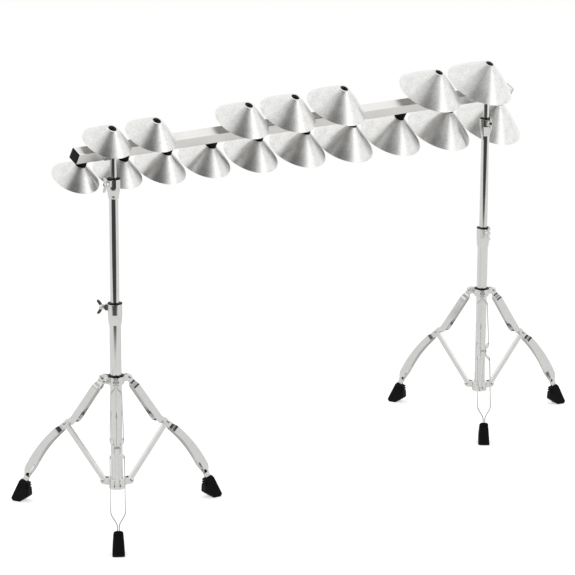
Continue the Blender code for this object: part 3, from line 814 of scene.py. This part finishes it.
def nut_and_washer():
    """Washer, nut and bolt end, from the roof of the bell towards its mouth."""
    profile = mm((4, 0), (11.6, 0), (11.9, 0.3), (11.9, 1.3), (11.6, 1.6), (8.2, 1.6),
                 (8.2, 2.1, 6), (8.2, 6.6, 6), (7.6, 7.1), (4.3, 7.1))
    thread = []
    for turn in range(THREADS):
        low = 7.2 * MM + turn * 1.2 * MM
        thread += [(3.6 * MM, low), (4.2 * MM, low + 0.6 * MM)]
    return turned(profile + thread + [(3.2 * MM, 14.8 * MM)], sides=48)


def lower_bell(number, step, along):
    rim = rim_of(step)
    height = height_of(rim)
    rim_plane = LOWER_RIM_RATIO * rim
    name, node = f"lower_bell_{number:02d}", f"bell_lower_{number:02d}"
    seat = on_bar(along) @ HANG
    hung = seat @ shift(z=rim_plane) @ HANG
    piece(name + "_shell", bell_shell(rim, 5 * MM), hung, BELL_METAL, "bar", node, spun=True)
    tall = rim_plane - height - UNDER_BAR
    top = seat @ shift(z=UNDER_BAR)
    piece(name + "_spacer", rubber_spacer(tall - 0.05 * MM), top, RUBBER, "bar", node)
    roof = shift(z=rim_plane - height + ROOF_WALL + 0.1 * MM)
    piece(name + "_nut", nut_and_washer(), seat @ roof, ZINC_STEEL, "bar", node)


for number, (step, place) in enumerate(zip(NATURAL_STEPS, NATURAL_PLACES_MM), start=1):
    lower_bell(number, step, place * MM)
print("lower bells", len(NATURAL_STEPS))

# %% [markdown]
# ## Columns
#
# Three chrome tubes slide in one another: 28.6, 22.2 and 15.9 mm. Their ends are deburred to a
# small round. The top one ends in a plate that leans with the bar and is screwed to its front.

# %% Tubes
BASE = 14.3 * MM
MIDDLE = 11.1 * MM
TOP = 7.95 * MM
MIDDLE_CLAMP_LOW = 488 * MM
TOP_CLAMP_LOW = 799 * MM
CLAMP_SEAT = 27 * MM
MIDDLE_TUBE_LOW = 336 * MM
TOP_TUBE_LOW = 610 * MM
SIDES = ("left", "right")


def tube(low, high, radius, wall):
    tall = high - low
    section = [(radius - wall, 0), (radius, 0), (radius, tall), (radius - wall, tall)]
    return sleeve(section, 0.5 * MM)


def at(index, height, turn=0.0):
    return Matrix.Translation(column(index) + Vector((0, 0, height))) @ spin(turn)


# %% Top tube with its plate
PLATE_THICK = 4 * MM
PLATE_HALF = 21 * MM
PLATE_TALL = 25 * MM


def cap_screw():
    """Button head with a hexagon socket, about Z."""
    profile = mm((2, -0.5), (4.6, 0), (4.7, 0.5), (4.1, 1.5), (3.0, 2.0), (2.2, 2.1), (1.7, 2.0, 6),
                 (1.7, 0.9, 6), (0.2, 0.7, 6))
    return turned(profile, sides=36)


def top_tube(index):
    side = SIDES[index]
    name = f"{side}_top_tube"
    form = tube(TOP_TUBE_LOW, BAR_HEIGHT - 4 * MM, TOP, 1.5 * MM)
    lean = shift(0, BAR_BEHIND, BAR_HEIGHT - TOP_TUBE_LOW) @ spin(BAR_TILT, "X")
    back = -UNDER_BAR
    front = back - PLATE_THICK
    normal = lean.to_3x3() @ Vector((0, 1, 0))
    spot = lean @ Vector((0, front + 0.3 * MM, 0))
    every = form.verts[:] + form.edges[:] + form.faces[:]
    cut = bmesh.ops.bisect_plane(form, geom=every, plane_co=spot, plane_no=normal, clear_outer=True)
    rim = [item for item in cut["geom_cut"] if isinstance(item, bmesh.types.BMEdge)]
    bmesh.ops.holes_fill(form, edges=rim)
    half = PLATE_TALL / 2
    outline = rounded(box_outline(-PLATE_HALF, PLATE_HALF, half), 5 * MM, closed=True, steps=6)
    face = moved(plate(outline, front, back, edge=0.6 * MM), lean)
    place = at(index, TOP_TUBE_LOW)
    piece(name, form, place, TUBE_CHROME, "bar", name)
    piece(f"{side}_bar_plate", face, place, CAST_CHROME, "bar", name)
    for number, across in enumerate((-15 * MM, 15 * MM), start=1):
        out = shift(across, front, 0) @ spin(math.pi / 2, "X")
        piece(f"{side}_plate_screw_{number}", cap_screw(), place @ lean @ out, ZINC_STEEL,
              "bar", name)


for index in range(2):
    top_tube(index)

# %% [markdown]
# ## Clamps and wing bolts
#
# A clamp is a zinc casting: a sleeve that is pressed on the lower tube, a split neck that the wing
# bolt draws tight, and a black nylon bush whose lip shows as a black ring on top. The wing bolt is
# cast in one piece with two wings and a threaded shank.

# %% Clamp
LIP = 3.2 * MM
FLANGE_OUT = 8 * MM
FLANGE_HALF = 6.5 * MM
FLANGE_TALL = 16 * MM
CLAMP_BOLT_TURN = [[math.radians(angle) for angle in bolts]      # middle, top and collar bolt
                   for bolts in ((137, 197, 172), (-112, -115, 46))]


def bolt_boss(outside, middle):
    """Rounded lug with a round boss, pointing along X, split down the middle."""
    reach = outside + FLANGE_OUT
    half = FLANGE_TALL / 2
    inside = outside - 3 * MM
    low, high = middle - half, middle + half
    outline = [(inside, low), (reach - 3 * MM, low), (reach, low + 4 * MM),
               (reach, high - 3 * MM), (reach - 3 * MM, high), (inside, high)]
    outline = rounded(outline, 2 * MM, closed=True, steps=3)
    lugs = [plate(outline, *sorted((sign * 0.9 * MM, sign * FLANGE_HALF)), edge=0.8 * MM)
            for sign in (-1, 1)]
    boss = rounded([(4 * MM, 0), (5.6 * MM, 0), (5.6 * MM, FLANGE_OUT), (3.4 * MM, FLANGE_OUT)],
                   0.6 * MM, steps=3)
    stub = moved(turned(boss, sides=40), shift(outside - 0.1 * MM, 0, middle) @ TO_X)
    return together(*lugs, stub)


def clamp(index, label, low, tall, outside, tube_radius, rod, turn, body):
    side = SIDES[index]
    node = f"{side}_{label}_clamp"
    neck = tall - LIP
    seat = tube_radius + GAP
    bore = rod + GAP
    section = [
        (seat, 0), (seat + 1.0 * MM, 0), (seat + 1.5 * MM, 3 * MM), (seat + 2.0 * MM, 8 * MM),
        (outside - 0.4 * MM, 22 * MM), (outside, 26 * MM), (outside, neck - 2 * MM),
        (outside, neck), (bore + 1.6 * MM, neck), (bore + 1.6 * MM, CLAMP_SEAT), (seat, CLAMP_SEAT),
    ]
    neck_form = sleeve(section, 1.6 * MM, steps=4)
    middle = neck - FLANGE_TALL / 2
    place = at(index, low, turn)
    boss = bolt_boss(outside, middle)
    piece(node + "_casting", together(neck_form, boss), place, CAST_CHROME, body, node)
    foot_of_bush = CLAMP_SEAT + 1 * MM
    bush = [(bore, foot_of_bush), (bore + 1.4 * MM, foot_of_bush), (bore + 1.4 * MM, neck),
            (outside - 0.6 * MM, neck + 0.1 * MM), (outside + 0.2 * MM, neck + 1.0 * MM),
            (outside - 0.2 * MM, tall - 0.8 * MM), (outside - 1.6 * MM, tall - 0.2 * MM),
            (bore + 0.8 * MM, tall), (bore, tall - 0.8 * MM)]
    piece(node + "_bush", sleeve(bush, 0.5 * MM), place, NYLON, body, node)
    return place @ shift(outside + FLANGE_OUT + GAP, 0, middle)


# %% Wing bolt
def wing_bolt(side, label, spot):
    """Cast bolt along X: two wings, and a threaded shank that turns in the lugs."""
    name = f"{side}_{label}_wing_bolt"
    hub = rounded(mm((2.5, 0), (6.6, 0), (6.6, 5), (5.4, 12), (2, 12)), 1.6 * MM, steps=6)
    forms = [moved(turned(hub, sides=40), TO_X)]
    for sign in (-1, 1):
        outline = mm((1.5, 1), (10, 1), (14, 7.5), (18, 14), (17.5, 18.5), (11.5, 18), (6.5, 12))
        outline = rounded(outline, 4 * MM, closed=True, steps=9)
        wing = [(x, sign * z) for x, z in outline]
        forms.append(plate(wing, -2.0 * MM, 2.0 * MM, edge=1.7 * MM))
    piece(name + "_head", together(*forms), spot, CAST_CHROME, name, name)
    thread = mm((1.5, 0.5), (2.7, 0.4))
    for turn in range(THREADS):
        low = -0.4 * MM - turn * 1.1 * MM
        thread += [(2.95 * MM, low), (2.5 * MM, low - 0.55 * MM)]
    thread += [(1.4 * MM, -7.0 * MM)]
    shank = moved(turned(thread, sides=32), TO_X)
    piece(name + "_shank", shank, spot, ZINC_STEEL, name, name)


# %% [markdown]
# ## Collars
#
# The upper collar slides on the base tube and carries the three legs, and the lower one stays at
# its foot and holds the braces. Each is a ring with three pairs of ears, and each pair has a
# rivet through it.

# %% Ears and rivets
PIVOT = 35.7 * MM
RING = 20.5 * MM
RING_UP = 11 * MM
RING_DOWN = 12 * MM
EAR_ROOT = 17.5 * MM
EAR_TALL = 8.5 * MM
EAR_THICK = 3.4 * MM
EAR_REACH = 7.5 * MM
TURN_STEP = math.radians(120)
TONGUE = 1.1 * MM
STRIP = 2.2 * MM
BRACE_WIDE = 11 * MM
TUBE_BELOW = 14.2 * MM


def pivots(place):
    """Number and frame of each of the three pivots round a collar."""
    return [(number + 1, place @ spin(number * TURN_STEP) @ shift(PIVOT))
            for number in range(3)]


def ear(side, inner):
    """Cheek with a rounded end, its root buried in the ring."""
    outline = [(EAR_ROOT, -EAR_TALL), (PIVOT, -EAR_TALL)]
    for step in range(1, 12):
        angle = math.pi * (step / 12 - 0.5)
        outline.append((PIVOT + EAR_REACH * math.cos(angle), EAR_TALL * math.sin(angle)))
    outline += [(PIVOT, EAR_TALL), (EAR_ROOT, EAR_TALL)]
    near, far = sorted((side * inner, side * (inner + EAR_THICK)))
    return plate(outline, near, far, edge=0.7 * MM)


def ears(inner):
    """Three pairs of cheeks round the column."""
    return [moved(ear(side, inner), spin(number * TURN_STEP))
            for side in (-1, 1) for number in range(3)]


def rivet(name, place, reach, through, body):
    """Rivet along Y: a low chromed head on each side with a bare steel end in its middle."""
    head = mm((1, -0.2), (4.8, 0), (4.7, 0.5), (4.0, 1.0), (2.7, 1.3), (2.5, 1.0), (0.5, 0.9))
    end = mm((0.5, 0.8), (2.3, 0.9), (2.1, 1.25), (0.3, 1.35))
    spots = [shift(y=sign * reach) @ spin(-sign * math.pi / 2, "X") for sign in (-1, 1)]
    heads = [moved(turned(head, sides=28), spot) for spot in spots]
    ends = [moved(turned(end, sides=24), spot) for spot in spots]
    if through:
        heads.append(moved(turned([(2.95 * MM, -reach), (2.95 * MM, reach)], sides=28), TO_Y))
    piece(name + "_head", together(*heads), place, CAST_CHROME, body)
    piece(name + "_end", together(*ends), place, RIVET_STEEL, body)


# %% Upper and lower collar
def upper_collar(index, height, turn, body):
    side = SIDES[index]
    node = f"{side}_upper_collar"
    bore = BASE + GAP
    neck = RING_UP - LIP
    section = [(bore, -RING_DOWN), (RING - 1 * MM, -RING_DOWN), (RING, -RING_DOWN + 3 * MM),
               (RING, neck), (bore, neck)]
    shell = sleeve(section, 0.8 * MM)
    inner = TONGUE + STRIP + GAP
    aim = spin(CLAMP_BOLT_TURN[index][2] - turn)
    boss = moved(bolt_boss(RING, -1 * MM), aim)
    place = at(index, height, turn)
    piece(node + "_casting", together(shell, boss, *ears(inner)), place, CAST_CHROME, body, node)
    bush = [(bore, neck + 0.1 * MM), (RING - 0.2 * MM, neck + 0.1 * MM),
            (RING + 0.3 * MM, neck + 1.6 * MM), (RING - 1.4 * MM, RING_UP - 0.2 * MM),
            (bore + 1 * MM, RING_UP), (bore, RING_UP - 0.8 * MM)]
    piece(node + "_bush", sleeve(bush, 0.6 * MM), place, NYLON, body, node)
    for number, spot in pivots(place):
        rivet(f"{side}_hip_rivet_{number}", spot, inner + EAR_THICK, True, body)
    return place @ aim @ shift(RING + FLANGE_OUT + GAP, 0, -1 * MM)


def lower_collar(index, height, turn, body):
    side = SIDES[index]
    node = f"{side}_lower_collar"
    bore = BASE + GAP
    section = [(bore, -TUBE_BELOW), (RING, -TUBE_BELOW), (RING, RING_UP), (bore, RING_UP)]
    shell = sleeve(section, 1.2 * MM, steps=4)
    inner = BRACE_WIDE / 2 + GAP
    place = at(index, height, turn)
    piece(node + "_casting", together(shell, *ears(inner)), place, CAST_CHROME, body, node)
    for number, spot in pivots(place):
        rivet(f"{side}_ankle_rivet_{number}", spot, inner + EAR_THICK, False, body)


# %% [markdown]
# ## Legs, braces and feet
#
# A leg is two steel strips on edge, pressed apart between the places where they are riveted and
# pinched together at the hip, the elbow and the foot. The lower half bows outwards. The strips are
# drawn as a rounded section along many stations, so that the bends flow as pressed steel does.

# %% Legs
LINK = 169.9 * MM
LEG_DROP = (math.radians(50.74), math.radians(52.77))
LEG_TURN = (math.radians(-128.1), math.radians(-134.0))
FOOT_ALONG = 429.2 * MM
FOOT_ACROSS = -29.5 * MM
ARC_TOP = LINK + 0.33 * (FOOT_ALONG - LINK)
ARC_HALF = 0.278 * (FOOT_ALONG - LINK)
LOWER_RISE = 6.5 * MM
ELBOW_GAP = 6.2 * MM
UPPER_STATIONS_MM = (
    (-8, 0, 1.1, 10), (12, -1, 1.1, 14), (30, -2.6, 12.6, 17), (142.9, -12.5, 15.2, 17),
    (158.9, -3, 6.2, 14), (180.9, 0, 6.2, 14),
)
LOWER_STATIONS_MM = ((196.9, 16.2, 17), (332, 16.2, 17), (366, 1.1, 14), (404, 1.1, 14))


def lower_arc(along):
    """Height of the lower strips over the line through hip and elbow."""
    return LOWER_RISE * (1 - ((along - ARC_TOP) / ARC_HALF) ** 2)


def eased(near, far, share):
    return near + (far - near) * share * share * (3 - 2 * share)


def fine_stations(steps=9):
    """(along, height, half gap, width) down a strip, with soft bends between the stations."""
    below = [(along, lower_arc(along * MM) / MM, gap, tall)
             for along, gap, tall in LOWER_STATIONS_MM]
    stations = list(UPPER_STATIONS_MM) + below
    fine = []
    for near, far in zip(stations, stations[1:]):
        for step in range(steps):
            share = step / steps
            along = near[0] + (far[0] - near[0]) * share
            rise = near[1] + (far[1] - near[1]) * share
            if along > LOWER_STATIONS_MM[0][0]:
                rise = lower_arc(along * MM) / MM
            elif along > UPPER_STATIONS_MM[3][0]:
                rise = eased(near[1], far[1], share)
            fine.append((along, rise, eased(near[2], far[2], share), eased(near[3], far[3], share)))
    return [tuple(value * MM for value in entry) for entry in fine + [stations[-1]]]


def strip(side):
    """One strip: its section stands square to the line and has rounded edges."""
    stations = fine_stations()
    rings = []
    for index, (along, rise, gap, tall) in enumerate(stations):
        back = stations[max(index - 1, 0)]
        ahead = stations[min(index + 1, len(stations) - 1)]
        lean = -(ahead[1] - back[1]) / (ahead[0] - back[0])
        half = tall / 2
        scale = 1 / math.hypot(1, lean)
        outline = box_outline(gap, gap + STRIP, half)
        rings.append([(along + lean * up * scale, side * across, rise + up * scale)
                      for across, up in rounded(outline, 0.5 * MM, closed=True, steps=3)])
    return skin(rings)


def leg(name, place):
    piece(name + "_strips", together(strip(1), strip(-1)), place, STRIP_CHROME, name, name)
    elbow = place @ shift(LINK)
    rivet(name + "_elbow_rivet", elbow, ELBOW_GAP + STRIP, True, name)


# %% Braces
BRACE_TALL = 10.5 * MM
BRACE_WALL = 1.8 * MM
BRACE_END = 6.5 * MM


def brace(name, place):
    """Channel with two rounded flanges and a web, from elbow to lower collar."""
    half = BRACE_WIDE / 2
    tall = BRACE_TALL / 2
    low, high = -BRACE_END, LINK + BRACE_END
    outline = rounded(box_outline(low, high, tall), 5 * MM, closed=True, steps=6)
    walls = [plate(outline, *sorted((sign * half, sign * (half - BRACE_WALL))), edge=0.45 * MM)
             for sign in (-1, 1)]
    web = plate(box_outline(low + 6 * MM, high - 6 * MM, half - 0.6 * MM),
                -tall + 0.1 * MM, -tall + BRACE_WALL, edge=0.3 * MM, plane="XY")
    piece(name + "_channel", together(web, *walls), place, STRIP_CHROME, name, name)


# %% Feet
FOOT_HALF = 15 * MM
FOOT_TALL = 58 * MM
FOOT_TOP_SCALE = 0.77
FOOT_OUTLINE_MM = ((-12, 0), (13, 0), (17, 4), (-9, 58), (-33, 49), (-34, 15))
RIB_PITCH = 6.2 * MM
RIBBED = 15 * MM         # length of the ribbed neck
TOP_SLOPE = Vector((-9, 24)).normalized()     # square to the top face
RIB_FADE = 1.5 * MM
RIB_INWARDS = 0.10       # how far a groove goes in along the outline, as a share
RIB_ACROSS = 0.25        # and across the width
FOOT_SLICES = 24
FOOT_CUSHION = 0.14


def rib_depth(x, z):
    """0 on the smooth part and on the ribs, 1 in the grooves round the neck."""
    top = Vector(FOOT_OUTLINE_MM[3]) * MM
    below = (top - Vector((x, z))).dot(TOP_SLOPE)
    fade = min(1, max(0, (RIBBED - below) / RIB_FADE)) * min(1, max(0, below / RIB_FADE))
    return fade * (0.5 - 0.5 * math.cos(2 * math.pi * below / RIB_PITCH)) ** 2


def dense_outline(outline, pitch):
    dense = []
    for index, near in enumerate(outline):
        far = outline[(index + 1) % len(outline)]
        parts = max(1, round((Vector(far) - Vector(near)).length / pitch))
        for step in range(parts):
            dense.append(tuple(Vector(near).lerp(Vector(far), step / parts)))
    return dense


def foot(name, place, body):
    """Moulded rubber shoe: a wedge with a flat sole and a neck with moulded ribs."""
    dense = dense_outline(rounded(mm(*FOOT_OUTLINE_MM), 5 * MM, closed=True, steps=6), 0.9 * MM)
    middle = sum((Vector(point) for point in dense), Vector((0, 0))) / len(dense)
    rings = []
    for step in range(FOOT_SLICES + 1):
        slice_at = math.sin(math.pi * (step / FOOT_SLICES - 0.5))
        inset = 1 - FOOT_CUSHION * abs(slice_at) ** 5
        points = []
        for x, z in dense:
            groove = rib_depth(x, z)
            spot = middle + (Vector((x, z)) - middle) * inset * (1 - RIB_INWARDS * groove)
            wide = FOOT_HALF * (1 + (FOOT_TOP_SCALE - 1) * z / FOOT_TALL)
            wide *= 1 - RIB_ACROSS * groove
            points.append((spot.x, slice_at * wide, 0 if z < 0.3 * MM else max(spot.y, 0)))
        rings.append(points)
    piece(name + "_rubber", skin(rings), place, RUBBER, body, name)


# %% [markdown]
# ## Setting up the stands
#
# Leg and brace are equally long, so the angle of the leg gives every other place: hip, elbow, foot
# and both collars. The bodies of the frame tell each piece what it moves with.

# %% Tripods
def upper_pivot(index):
    return FOOT_ALONG * math.sin(LEG_DROP[index]) - FOOT_ACROSS * math.cos(LEG_DROP[index])


def lower_pivot(index):
    return upper_pivot(index) - 2 * LINK * math.sin(LEG_DROP[index])


def tripod(index):
    side = SIDES[index]
    drop = LEG_DROP[index]
    for number in range(3):
        turn = spin(LEG_TURN[index] + number * TURN_STEP)
        hip = at(index, 0) @ turn @ shift(PIVOT, 0, upper_pivot(index))
        down = hip @ spin(drop, "Y")
        elbow = down @ shift(LINK)
        back = elbow @ spin(math.pi - 2 * drop, "Y")
        contact = Matrix.Translation(down @ Vector((FOOT_ALONG, 0, FOOT_ACROSS))) @ turn
        leg_name = f"{side}_leg_{number + 1}"
        leg(leg_name, down)
        brace(f"{side}_brace_{number + 1}", back)
        foot(f"{side}_foot_{number + 1}", contact, leg_name)


# %% Stands
def stand(index):
    side = SIDES[index]
    turns = CLAMP_BOLT_TURN[index]
    foot_of_tube = lower_pivot(index) - TUBE_BELOW
    base_body, middle_body, collar_body = f"{side}_base", f"{side}_middle", f"{side}_collar"
    for label, low, high, radius, wall, body in (
            ("base", foot_of_tube, MIDDLE_CLAMP_LOW + CLAMP_SEAT, BASE, 2 * MM, base_body),
            ("middle", MIDDLE_TUBE_LOW, TOP_CLAMP_LOW + CLAMP_SEAT, MIDDLE, 1.6 * MM, middle_body)):
        name = f"{side}_{label}_tube"
        piece(name, tube(low, high, radius, wall), at(index, low), TUBE_CHROME, body, name)
    spots = {
        "middle": clamp(index, "middle", MIDDLE_CLAMP_LOW, 55 * MM, 18.0 * MM, BASE, MIDDLE,
                        turns[0], base_body),
        "top": clamp(index, "top", TOP_CLAMP_LOW, 50 * MM, 16.4 * MM, MIDDLE, TOP,
                     turns[1], middle_body),
        "collar": upper_collar(index, upper_pivot(index), LEG_TURN[index], collar_body),
    }
    for label, spot in spots.items():
        wing_bolt(side, label, spot)
    lower_collar(index, lower_pivot(index), LEG_TURN[index], base_body)
    tripod(index)


for index in range(2):
    stand(index)
